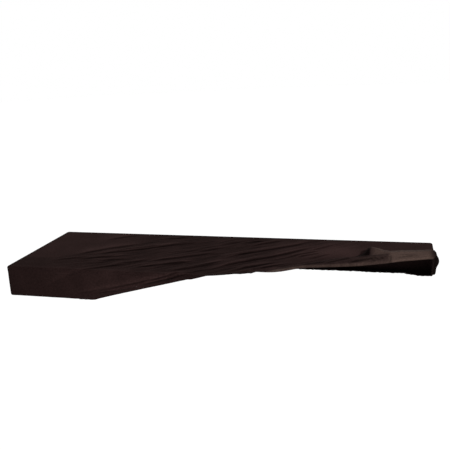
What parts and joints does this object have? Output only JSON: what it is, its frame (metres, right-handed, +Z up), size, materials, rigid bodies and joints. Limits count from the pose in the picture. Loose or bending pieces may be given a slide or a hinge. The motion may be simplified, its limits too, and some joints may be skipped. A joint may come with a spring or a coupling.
{
  "type": "piano keyboard cover",
  "caption": "Fitted stretch dust cover for a long keyboard, with a drawn-in elastic hem, its front right side pulled up and folded back over the top.",
  "frame": {"origin": "middle of the top panel's underside, where the thing that the cover is fitted over holds it", "axes": "+X along the cover's length to the right, +Y from its front to its back, +Z up"},
  "size_m": [1.0862, 0.3423, 0.0949],
  "materials": {
    "stretch_cloth": "dark brown-black matt stretch knit"
  },
  "bodies": {
    "root": {"cover_cloth": "stretch_cloth"}
  },
  "joints": []
}
